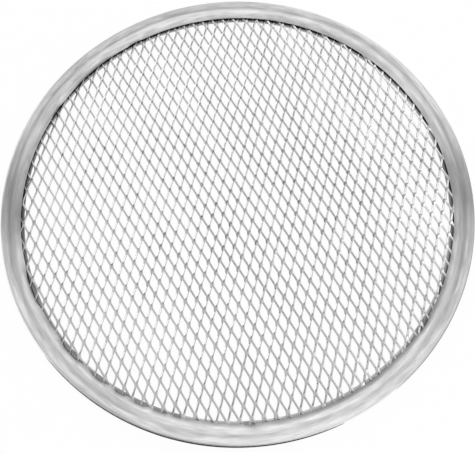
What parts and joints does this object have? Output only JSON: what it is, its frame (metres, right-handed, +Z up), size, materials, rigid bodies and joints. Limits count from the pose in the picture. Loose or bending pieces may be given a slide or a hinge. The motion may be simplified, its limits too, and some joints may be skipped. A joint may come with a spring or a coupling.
{
  "type": "pizza screen",
  "caption": "Round baking screen: a disc of raised expanded aluminium mesh crimped into a folded, beaded sheet rim.",
  "frame": {"origin": "centre of the screen at the level of the rim's flat underside", "axes": "+Z up through the disc; -Y towards the viewer, +X to the viewer's right; the short diagonals of the mesh run 7.2 degrees from +X towards +Y"},
  "size_m": [0.3049, 0.305, 0.006],
  "materials": {
    "rim_sheet": "satin, fine circumferential brush lines",
    "mesh_strands": "satin, as sheared and drawn"
  },
  "bodies": {
    "root": {"rim": "rim_sheet", "mesh": "mesh_strands"}
  },
  "joints": []
}
